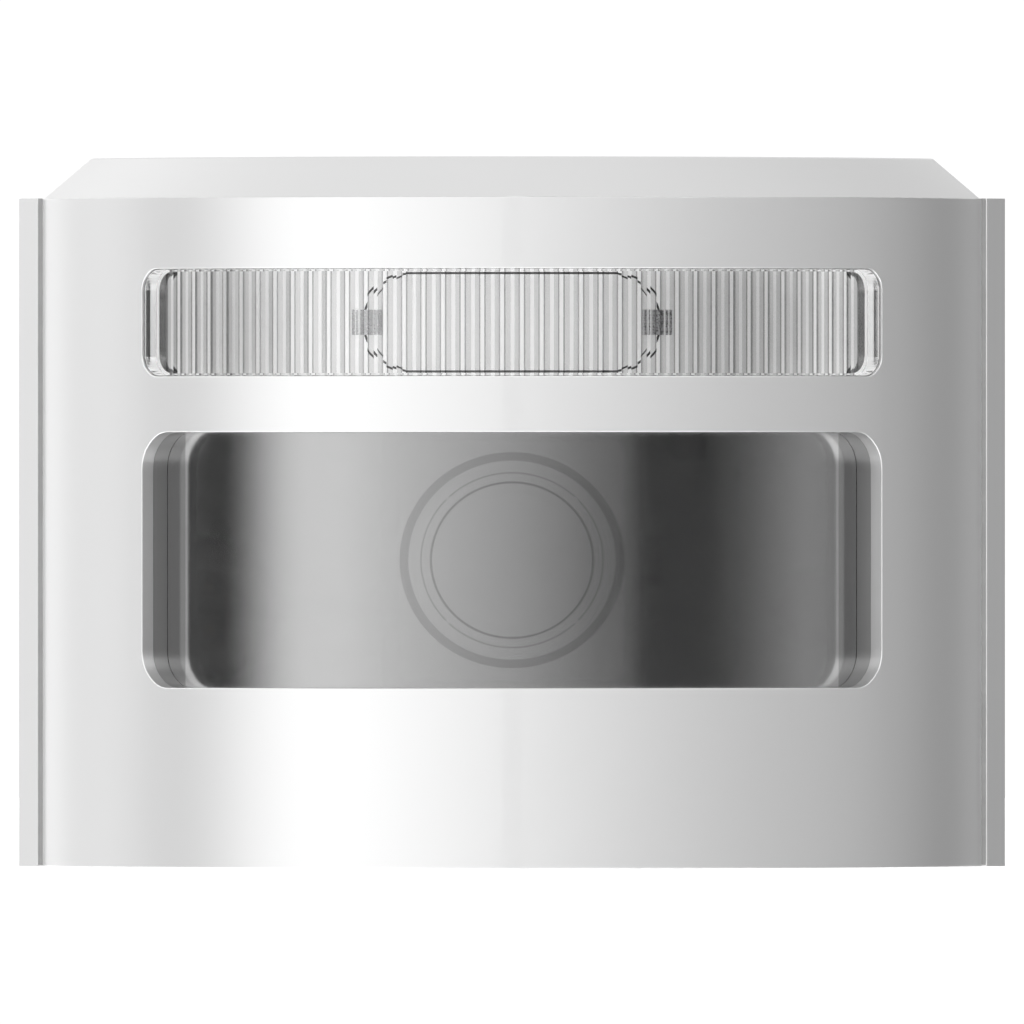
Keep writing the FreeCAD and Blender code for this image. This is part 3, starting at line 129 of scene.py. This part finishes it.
EYE_LEVEL_ENDS = (0.20 * TENT_R, 0.28 * TENT_R)
CEILING_STARTS = (0.62 * TENT_R, 0.78 * TENT_R)
WORLD_STRENGTH = 1.05
FLOOR_R = 0.98 * TENT_R
FLOOR_DROP = 0.02 * MM
FLOOR_GLOW = 0.6
CAMERA_DISTANCE = 6.0
CAMERA_Z = 46.68 * MM
CAMERA_REACH = (1.0, 100.0)
SENSOR_WIDTH = 36.0
PICTURE_WIDTH = 1.0380

# ---- materials: where most of a noise lies, and the sockets of a colour mix ----
NOISE_LOW, NOISE_HIGH = 0.35, 0.65
MIX_FACTOR, MIX_FIRST, MIX_SECOND, MIX_RESULT = 0, 6, 7, 2


# ---- node helpers ----
def new_material(name):
    material = bpy.data.materials.new(name)
    material.use_nodes = True
    tree = material.node_tree
    return material, tree, tree.nodes["Principled BSDF"]


def add(tree, kind, **values):
    """Adds a node and sets its properties or, by the socket's name with spaces as _, its inputs."""
    node = tree.nodes.new(kind)
    for key, value in values.items():
        if hasattr(node, key):
            setattr(node, key, value)
        else:
            node.inputs[key.replace("_", " ")].default_value = value
    return node


def link(tree, output, target):
    tree.links.new(output, target)


def noise(tree, scale, detail=3.0, roughness=0.55, stretch=(1, 1, 1)):
    """Noise in the object's own metres, stretched along an axis where the finish has a direction."""
    place = add(tree, "ShaderNodeTexCoord")
    mapping = add(tree, "ShaderNodeMapping")
    mapping.inputs["Scale"].default_value = stretch
    link(tree, place.outputs["Object"], mapping.inputs["Vector"])
    node = add(tree, "ShaderNodeTexNoise", Scale=scale, Detail=detail, Roughness=roughness)
    link(tree, mapping.outputs["Vector"], node.inputs["Vector"])
    return node.outputs["Fac"]


def between(tree, factor, low, high, target, start=NOISE_LOW, end=NOISE_HIGH):
    """Maps a factor from start..end onto low..high and feeds it to a number socket."""
    node = add(tree, "ShaderNodeMapRange", From_Min=start, From_Max=end, To_Min=low, To_Max=high)
    link(tree, factor, node.inputs["Value"])
    link(tree, node.outputs["Result"], target)


def tone(tree, factor, dark, light, target, start=NOISE_LOW, end=NOISE_HIGH):
    """Shades a colour socket from dark to light as a factor runs from start to end."""
    node = add(tree, "ShaderNodeValToRGB")
    node.color_ramp.elements[0].position = start
    node.color_ramp.elements[1].position = end
    node.color_ramp.elements[0].color = (*dark, 1)
    node.color_ramp.elements[1].color = (*light, 1)
    link(tree, factor, node.inputs["Fac"])
    link(tree, node.outputs["Color"], target)


def bump(tree, shader, height, strength, distance):
    node = add(tree, "ShaderNodeBump", Strength=strength, Distance=distance)
    link(tree, height, node.inputs["Height"])
    link(tree, node.outputs["Normal"], shader.inputs["Normal"])


def grey(level):
    return (level, level, level)


def maths(tree, operation, first, second=None):
    """A maths node on sockets or plain numbers."""
    node = add(tree, "ShaderNodeMath", operation=operation)
    for socket, value in zip(node.inputs, (first, second)):
        if isinstance(value, (int, float)):
            socket.default_value = value
        elif value is not None:
            link(tree, value, socket)
    return node.outputs["Value"]


def position(tree):
    """The place on the piece as three numbers, in metres."""
    place = add(tree, "ShaderNodeTexCoord")
    axes = add(tree, "ShaderNodeSeparateXYZ")
    link(tree, place.outputs["Object"], axes.inputs["Vector"])
    return [axes.outputs[letter] for letter in "XYZ"]


def length(tree, first, second):
    """Distance of a point from the origin, by its two coordinates."""
    return maths(tree, "SQRT", maths(tree, "ADD", maths(tree, "MULTIPLY", first, first),
                                     maths(tree, "MULTIPLY", second, second)))


def level_ramp(tree, factor, pairs):
    """Grey by a factor, from (factor, level) pairs in order."""
    node = add(tree, "ShaderNodeValToRGB")
    ramp = node.color_ramp
    while len(ramp.elements) < len(pairs):
        ramp.elements.new(0.5)
    for element, (place, level) in zip(ramp.elements, pairs):
        element.position = place
        element.color = (*grey(level), 1)
    link(tree, factor, node.inputs["Fac"])
    return node.outputs["Color"]


def level_by(tree, value, pairs):
    """Grey by a value that runs from the first pair's to the last one's."""
    first, last = pairs[0][0], pairs[-1][0]
    share = maths(tree, "DIVIDE", maths(tree, "SUBTRACT", value, first), last - first)
    return level_ramp(tree, share, [((place - first) / (last - first), level) for place, level in pairs])


def step_up(tree, value, start, end):
    """Smoothly from 0 to 1 as the value passes from start to end."""
    node = add(tree, "ShaderNodeMapRange", From_Min=start, From_Max=end)
    node.interpolation_type = "SMOOTHSTEP"
    link(tree, value, node.inputs["Value"])
    return node.outputs["Result"]


def mixed(tree, factor, first, second):
    """The first colour where the factor is 0, the second where it is 1."""
    mix = add(tree, "ShaderNodeMix", data_type="RGBA")
    link(tree, factor, mix.inputs[MIX_FACTOR])
    link(tree, first, mix.inputs[MIX_FIRST])
    link(tree, second, mix.inputs[MIX_SECOND])
    return mix.outputs[MIX_RESULT]


# ---- materials ----
def satin_metal(name, level, rough, metallic=1.0):
    """Bead-blasted, anodised aluminium: a fine even grain and a slow variation of gloss."""
    material, tree, shader = new_material(name)
    shader.inputs["Metallic"].default_value = metallic
    tone(tree, noise(tree, 60.0), grey(level * 0.995), grey(level), shader.inputs["Base Color"])
    between(tree, noise(tree, 900.0, detail=6.0), rough - 0.004, rough + 0.004, shader.inputs["Roughness"])
    bump(tree, shader, noise(tree, 14000.0, detail=2.0), 0.08, 0.02 * MM)
    return material


def turned_metal(name, colour, rough, stretch=(1, 1, 1)):
    """Machined or drawn metal with fine lines."""
    material, tree, shader = new_material(name)
    shader.inputs["Metallic"].default_value = 1.0
    dark = tuple(c * 0.88 for c in colour)
    tone(tree, noise(tree, 400.0), dark, colour, shader.inputs["Base Color"])
    lines = noise(tree, 3000.0, detail=4.0, stretch=stretch)
    between(tree, lines, rough - 0.06, rough + 0.08, shader.inputs["Roughness"])
    bump(tree, shader, lines, 0.3, 0.01 * MM)
    return material


def plastic(name, colour, rough, spread):
    """Moulded plastic or rubber with a fine surface texture."""
    material, tree, shader = new_material(name)
    light = tuple(min(1.0, c * (1 + spread)) for c in colour)
    dark = tuple(c * (1 - spread) for c in colour)
    tone(tree, noise(tree, 250.0), dark, light, shader.inputs["Base Color"])
    between(tree, noise(tree, 1200.0), rough - 0.05, rough + 0.05, shader.inputs["Roughness"])
    bump(tree, shader, noise(tree, 5000.0), 0.3, 0.01 * MM)
    return material


def clear_plastic(name, colour, rough, ior):
    material, tree, shader = new_material(name)
    shader.inputs["Transmission Weight"].default_value = 1.0
    shader.inputs["IOR"].default_value = ior
    tone(tree, noise(tree, 120.0), tuple(c * 0.99 for c in colour), colour, shader.inputs["Base Color"])
    between(tree, noise(tree, 500.0), rough, rough + 0.01, shader.inputs["Roughness"])
    return material


def circles(tree):
    """A mask of the circles painted on the smoked window, about the barrel's axis: a broad band and two fine
    lines, the outer one broken on the diagonals. They paint onto the pane the barrel's dark seal behind it
    and the shade in its groove and in the gaps between its rings: partly painted shade."""
    levels = [(0.0, 0.0)]
    for radius, half, depth in CIRCLES:
        outside = half + CIRCLES_EDGE
        levels += [((radius + away) / CIRCLES_SPAN, level)
                   for away, level in ((-outside, 0.0), (-half, depth), (half, depth), (outside, 0.0))]
    x, _, z = position(tree)
    height = maths(tree, "DIVIDE", maths(tree, "SUBTRACT", z, EYE_Z), CIRCLES_SQUEEZE)
    rings = level_ramp(tree, maths(tree, "DIVIDE", length(tree, x, height), CIRCLES_SPAN * MM), levels)
    aside = maths(tree, "SUBTRACT", maths(tree, "ABSOLUTE", x), BREAK_AT)
    above = maths(tree, "SUBTRACT", maths(tree, "ABSOLUTE", height), BREAK_AT)
    kept = maths(tree, "GREATER_THAN", length(tree, aside, above), BREAK_R)
    return maths(tree, "MULTIPLY", rings, kept)


def smoked_glass():
    """Grey tinted window with a partly metallised face and painted shade: darker at its two ends and in the
    painted circles.
    """
    material, tree, shader = new_material("smoked_acrylic")
    shader.inputs["Transmission Weight"].default_value = 1.0
    shader.inputs["IOR"].default_value = 1.49
    shader.inputs["Metallic"].default_value = 0.60
    x, y, _ = position(tree)
    turn = maths(tree, "ARCTAN2", maths(tree, "ABSOLUTE", x), maths(tree, "SUBTRACT", AXIS_Y, y))
    # painted shade: the pane darker at its two ends
    border = maths(tree, "GREATER_THAN", turn, radians(PANE_BORDER))
    painted_shade = maths(tree, "MAXIMUM", circles(tree), border)
    tone(tree, painted_shade, grey(PANE_GREY), grey(PAINTED_SHADE_GREY), shader.inputs["Base Color"], 0.0, 1.0)
    between(tree, noise(tree, 300.0), 0.13, 0.15, shader.inputs["Roughness"])
    return material


def flute_plastic():
    """Clear plastic. The strips of its fluted back carry painted shade, by place: clear crests and valleys
    between greyer flanks with dark edges, all of them darker towards the two sides, in place of the light and
    shade that refraction gives the flutes."""
    material, tree, shader = new_material("clear_polycarbonate")
    shader.inputs["Transmission Weight"].default_value = 1.0
    shader.inputs["IOR"].default_value = 1.52
    x, y, _ = position(tree)
    depth = maths(tree, "SUBTRACT", AXIS_Y, y)
    turn = maths(tree, "MULTIPLY", maths(tree, "ARCTAN2", x, depth), 180 / pi)
    across = maths(tree, "FRACT", maths(tree, "ADD", maths(tree, "DIVIDE", turn, FLUTE_PITCH), 0.5))
    aside = level_by(tree, turn, SIDE_SHADE_SHARE)
    # painted shade across each flute, with the darker aside pattern mixed in by angle along the lens
    painted_flute_shade = mixed(tree, aside, level_ramp(tree, across, FLUTE_SHADE_AHEAD), level_ramp(tree, across, FLUTE_SHADE_ASIDE))
    front = maths(tree, "GREATER_THAN", length(tree, x, depth), (PAD_R + PAD_BACK_R) / 2)
    ends = maths(tree, "GREATER_THAN", maths(tree, "ABSOLUTE", turn), FLUTES_HALF)
    plain = level_ramp(tree, noise(tree, 120.0), [(NOISE_LOW, 0.96), (NOISE_HIGH, 0.97)])
    # where the painted shade stops: the pad's front and beyond the last flute
    unshaded = maths(tree, "MAXIMUM", front, ends)
    link(tree, mixed(tree, unshaded, painted_flute_shade, plain), shader.inputs["Base Color"])
    between(tree, noise(tree, 300.0), 0.01, 0.02, shader.inputs["Roughness"])
    return material


def reflector_with_painted_glow():
    """Satin reflector with a painted glow: it gives off a soft light of its own, though it is no lamp, so
    that the tray behind the lens looks lit.
    """
    material = satin_metal("reflector", 0.95, 0.34, metallic=0.5)
    shader = material.node_tree.nodes["Principled BSDF"]
    # painted light: emission on a part that is no lamp
    shader.inputs["Emission Color"].default_value = (1, 1, 1, 1)
    shader.inputs["Emission Strength"].default_value = PAINTED_GLOW
    return material


def board(name):
    """Solder mask over copper: darker tracks under a glossy green coat."""
    material, tree, shader = new_material(name)
    place = add(tree, "ShaderNodeTexCoord")
    cells = add(tree, "ShaderNodeTexVoronoi", Scale=700.0, feature="DISTANCE_TO_EDGE")
    link(tree, place.outputs["Object"], cells.inputs["Vector"])
    track, coat = (0.01, 0.07, 0.03), (0.02, 0.16, 0.07)
    tone(tree, cells.outputs["Distance"], track, coat, shader.inputs["Base Color"], 0.02, 0.1)
    between(tree, noise(tree, 800.0), 0.25, 0.4, shader.inputs["Roughness"])
    return material


def make_materials():
    return {
        "satin_aluminium": satin_metal("satin_aluminium", 0.92, 0.45),
        "frame_aluminium": satin_metal("frame_aluminium", 0.62, 0.34),
        "black_aluminium": satin_metal("black_aluminium", 0.10, 0.38),
        "motor_can": turned_metal("motor_can", (0.58, 0.58, 0.59), 0.3, (1, 1, 12)),
        "steel": turned_metal("steel", (0.62, 0.62, 0.63), 0.28),
        "bearing_steel": turned_metal("bearing_steel", (0.70, 0.70, 0.71), 0.16),
        "nickel": turned_metal("nickel", (0.66, 0.64, 0.60), 0.22),
        "magnet": turned_metal("magnet", (0.5, 0.5, 0.51), 0.3),
        "brass": turned_metal("brass", (0.72, 0.53, 0.25), 0.28),
        "gold_pins": turned_metal("gold_pins", (0.90, 0.68, 0.30), 0.18),
        "smoked_acrylic": smoked_glass(),
        "clear_polycarbonate": flute_plastic(),
        "lens_glass": clear_plastic("lens_glass", (0.86, 0.90, 0.92), 0.01, 1.6),
        "filter_glass": clear_plastic("filter_glass", (0.35, 0.06, 0.09), 0.02, 1.5),
        "reflector": reflector_with_painted_glow(),
        "white_plastic": plastic("white_plastic", grey(0.80), 0.35, spread=0.02),
        "gear_resin": plastic("gear_resin", (0.78, 0.76, 0.70), 0.38, spread=0.03),
        "black_plastic": plastic("black_plastic", grey(0.02), 0.45, spread=0.2),
        "chip_plastic": plastic("chip_plastic", grey(0.03), 0.5, spread=0.2),
        "green_board": board("green_board"),
        "amber_flex": plastic("amber_flex", (0.45, 0.20, 0.03), 0.3, spread=0.1),
        "led_package": plastic("led_package", (0.75, 0.66, 0.32), 0.3, spread=0.1),
        "cable_jacket": plastic("cable_jacket", grey(0.03), 0.55, spread=0.2),
        "black_rubber": plastic("black_rubber", grey(0.025), 0.7, spread=0.2),
        "grey_rubber": plastic("grey_rubber", grey(0.30), 0.6, spread=0.05),
    }


# ---- meshes ----
def point(angle, radius, z):
    """A place on the front, by angle from straight ahead and radius from its axis."""
    a = radians(angle)
    return (radius * sin(a), AXIS_Y - radius * cos(a), z)


def columns(outline, inset, angles, steps=8):
    """The window's rounded outline as columns (angle, bottom, top) from left to right: one at each given
    angle, then more round the corners, up to the ends."""
    half, low, high, corner = outline
    flat = tan(radians(half) - corner / FRONT_R)
    end = tan(radians(half) - inset / FRONT_R)

    def column(angle):
        share = min(1.0, max(0.0, (tan(radians(abs(angle))) - flat) / (end - flat)))
        drop = corner - (corner - inset) * sqrt(1 - share * share)
        return (angle, low + drop, high - drop)

    reached = asin(max(0.0, (tan(radians(angles[-1])) - flat) / (end - flat)))
    turns = [reached + (pi / 2 - reached) * i / steps for i in range(1, steps + 1)]
    bends = [degrees(atan2(flat + (end - flat) * sin(turn), 1)) for turn in turns]
    return [column(angle) for angle in [-bend for bend in reversed(bends)] + angles + bends]


def ring(shape, cols, radius):
    """The outline's vertices at a radius, or at a function of the angle: bottoms, then tops back."""
    radii = [radius(angle) if callable(radius) else radius for angle, _, _ in cols]
    bottoms = [shape.verts.new(point(angle, r, low)) for r, (angle, low, _) in zip(radii, cols)]
    tops = [shape.verts.new(point(angle, r, high)) for r, (angle, _, high) in zip(radii, cols)]
    return bottoms + tops[::-1]


def skin(shape, loops):
    """Joins each loop to the next, and closes the first and the last with one face per column."""
    for first, second in zip(loops, loops[1:]):
        for i in range(len(first)):
            j = (i + 1) % len(first)
            shape.faces.new((first[i], first[j], second[j], second[i]))
    for loop in (loops[0], loops[-1]):
        for i in range(len(loop) // 2 - 1):
            shape.faces.new((loop[i], loop[-1 - i], loop[-2 - i], loop[i + 1]))


def round_rim(radius, steps=4):
    """Insets and depths of a quarter round, from the side wall to the front face."""
    turns = [pi / 2 * i / steps for i in range(steps + 1)]
    return [(radius * (1 - cos(a)), radius * (1 - sin(a))) for a in turns]


def paint(obj, material):
    obj.data.materials.clear()
    obj.data.materials.append(material)


def new_object(name, shape):
    """Puts the shape into the scene as an object."""
    mesh = bpy.data.meshes.new(name)
    shape.to_mesh(mesh)
    shape.free()
    made = bpy.data.objects.new(name, mesh)
    bpy.context.scene.collection.objects.link(made)
    return made


def finish_piece(name, shape, replaced, crease):
    """Makes the shape a smooth-shaded piece of the housing that stands for a CAD node and takes its slot."""
    bmesh.ops.recalc_face_normals(shape, faces=shape.faces)
    piece = new_object(name, shape)
    piece.data.shade_smooth()
    piece.data.set_sharp_from_angle(angle=radians(crease))
    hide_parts(replaced)
    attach(piece, "housing")
    paint(piece, materials[slots[replaced]])


def flute(angle):
    """Radius of the lens's back: flat-topped flutes between narrow flats, and plain beyond the last one."""
    if abs(angle) >= FLUTES_HALF:
        return PAD_BACK_R
    across = abs((angle + FLUTES_HALF) % FLUTE_PITCH - FLUTE_PITCH / 2)
    foot, top = (FLUTE_PITCH - FLUTE_GAP) / 2, FLUTE_CREST / 2
    share = min(1.0, max(0.0, (foot - across) / (foot - top)))
    return PAD_BACK_R - FLUTE_RISE * share


def flute_angles():
    """Columns at each flute's foot and crest edges, with a narrow blend there."""
    foot, top = (FLUTE_PITCH - FLUTE_GAP) / 2, FLUTE_CREST / 2
    steps = [foot, foot - FLUTE_BLEND, (foot + top) / 2, top + FLUTE_BLEND, top]
    angles = []
    for k in range(FLUTES):
        middle = -FLUTES_HALF + FLUTE_PITCH * (k + 0.5)
        angles += [middle - step for step in steps] + [middle + step for step in reversed(steps)]
    return [-FLUTES_HALF] + angles + [FLUTES_HALF]


def fluted_lens():
    """One clear moulding: a pad with a rounded front rim, flutes behind, and a flange round it."""
    shape = bmesh.new()
    angles = flute_angles()
    flange = columns(FLANGE, 0.0, angles)
    inner = columns(PAD, PAD_CLEAR + PAD_RIM, angles)
    loops = [ring(shape, columns(PAD, PAD_CLEAR + inset, angles), PAD_R - depth)
             for inset, depth in reversed(round_rim(PAD_EDGE))]
    bevel, rise = FOOT_BEVEL
    loops.append(ring(shape, columns(PAD, PAD_CLEAR, angles), FLANGE_R[1] + rise))
    loops.append(ring(shape, columns(PAD, PAD_CLEAR - bevel, angles), FLANGE_R[1]))
    loops.append(ring(shape, flange, FLANGE_R[1]))
    loops.append(ring(shape, flange, FLANGE_R[0]))
    loops.append(ring(shape, inner, FLANGE_R[0]))
    loops.append(ring(shape, inner, flute))
    skin(shape, loops)
    finish_piece("fluted_light_lens", shape, "fluted_lens", crease=6)


def smoked_window():
    """The tinted pane, finely divided round its curve, with a small chamfer on its edges."""
    inside, outside = PANE_R
    half = degrees(asin(PANE_HIGH[0] / outside))
    outline = (half, PANE_LOW[2], PANE_HIGH[2], PANE_CORNER)
    flat = half - degrees(PANE_CORNER / FRONT_R)
    angles = [-flat + 2 * flat * i / 200 for i in range(201)]
    section = [(PANE_CHAMFER, outside), (0.0, outside - PANE_CHAMFER),
               (0.0, inside + PANE_CHAMFER), (PANE_CHAMFER, inside)]
    shape = bmesh.new()
    skin(shape, [ring(shape, columns(outline, inset, angles), radius) for inset, radius in section])
    finish_piece("smoked_scan_window", shape, "smoked_window", crease=35)


# ---- studio ----
def softboxes(tree):
    """The tent's brightness by direction: one pattern at eye level, one above and below it, one overhead."""
    x, y, z = position(tree)
    turn = maths(tree, "ARCTAN2", x, maths(tree, "MULTIPLY", y, -1.0))
    azimuth = maths(tree, "MULTIPLY", turn, 180 / pi)
    beyond = step_up(tree, maths(tree, "ABSOLUTE", z), *EYE_LEVEL_ENDS)
    sides = mixed(tree, beyond, level_by(tree, azimuth, EYE_LEVEL), level_by(tree, azimuth, ABOVE_AND_BELOW))
    above = level_by(tree, maths(tree, "DIVIDE", x, TENT_R), CEILING)
    return mixed(tree, step_up(tree, z, *CEILING_STARTS), sides, above)


def light_tent():
    """A sphere of light that only reflections and shading see: the camera looks straight through it."""
    shape = bmesh.new()
    bmesh.ops.create_uvsphere(shape, u_segments=96, v_segments=48, radius=TENT_R)
    tent = new_object("light_tent", shape)
    material = bpy.data.materials.new("tent_light")
    material.use_nodes = True
    tree = material.node_tree
    tree.nodes.remove(tree.nodes["Principled BSDF"])
    glow = add(tree, "ShaderNodeEmission", Strength=TENT_STRENGTH)
    link(tree, softboxes(tree), glow.inputs["Color"])
    link(tree, glow.outputs["Emission"], tree.nodes["Material Output"].inputs["Surface"])
    paint(tent, material)
    tent.visible_camera = False


def floor():
    """A pale round floor, a little lit of its own, so that it stays as light as the surround."""
    shape = bmesh.new()
    bmesh.ops.create_circle(shape, cap_ends=True, segments=128, radius=FLOOR_R)
    made = new_object("floor", shape)
    material, tree, shader = new_material("pale_floor")
    tone(tree, noise(tree, 3.0), grey(0.79), grey(0.81), shader.inputs["Base Color"])
    shader.inputs["Roughness"].default_value = 0.8
    shader.inputs["Specular IOR Level"].default_value = 0.2
    shader.inputs["Emission Color"].default_value = (1, 1, 1, 1)
    shader.inputs["Emission Strength"].default_value = FLOOR_GLOW
    paint(made, material)
    made.location = (0, 0, -FLOOR_DROP)
    made.visible_glossy = False


def surround():
    """White behind everything."""
    world = bpy.data.worlds.new("studio")
    bpy.context.scene.world = world
    world.use_nodes = True
    background = world.node_tree.nodes["Background"]
    background.inputs["Color"].default_value = (1, 1, 1, 1)
    background.inputs["Strength"].default_value = WORLD_STRENGTH


def camera():
    """Level and far away with a long lens, so that the front is seen almost without perspective."""
    width = (HOUSE_HIGH[0] - HOUSE_LOW[0]) * PICTURE_WIDTH
    data = bpy.data.cameras.new("camera")
    made = bpy.data.objects.new("camera", data)
    bpy.context.scene.collection.objects.link(made)
    data.sensor_width = SENSOR_WIDTH
    data.lens = SENSOR_WIDTH * (CAMERA_DISTANCE + HOUSE_LOW[1] - COVER_LOW[1]) / width
    data.clip_start, data.clip_end = CAMERA_REACH
    made.location = (0.0, COVER_LOW[1] - CAMERA_DISTANCE, CAMERA_Z)
    made.rotation_euler = (pi / 2, 0, 0)
    bpy.context.scene.camera = made


materials = make_materials()
slots = {entry["node"]: entry["material_slot"] for entry in frame["record"]["subparts"]}
for node, obj in frame["nodes"].items():
    paint(obj, materials[slots[node]])

fluted_lens()
smoked_window()
light_tent()
floor()
surround()
camera()
bpy.context.scene.view_settings.view_transform = "Standard"
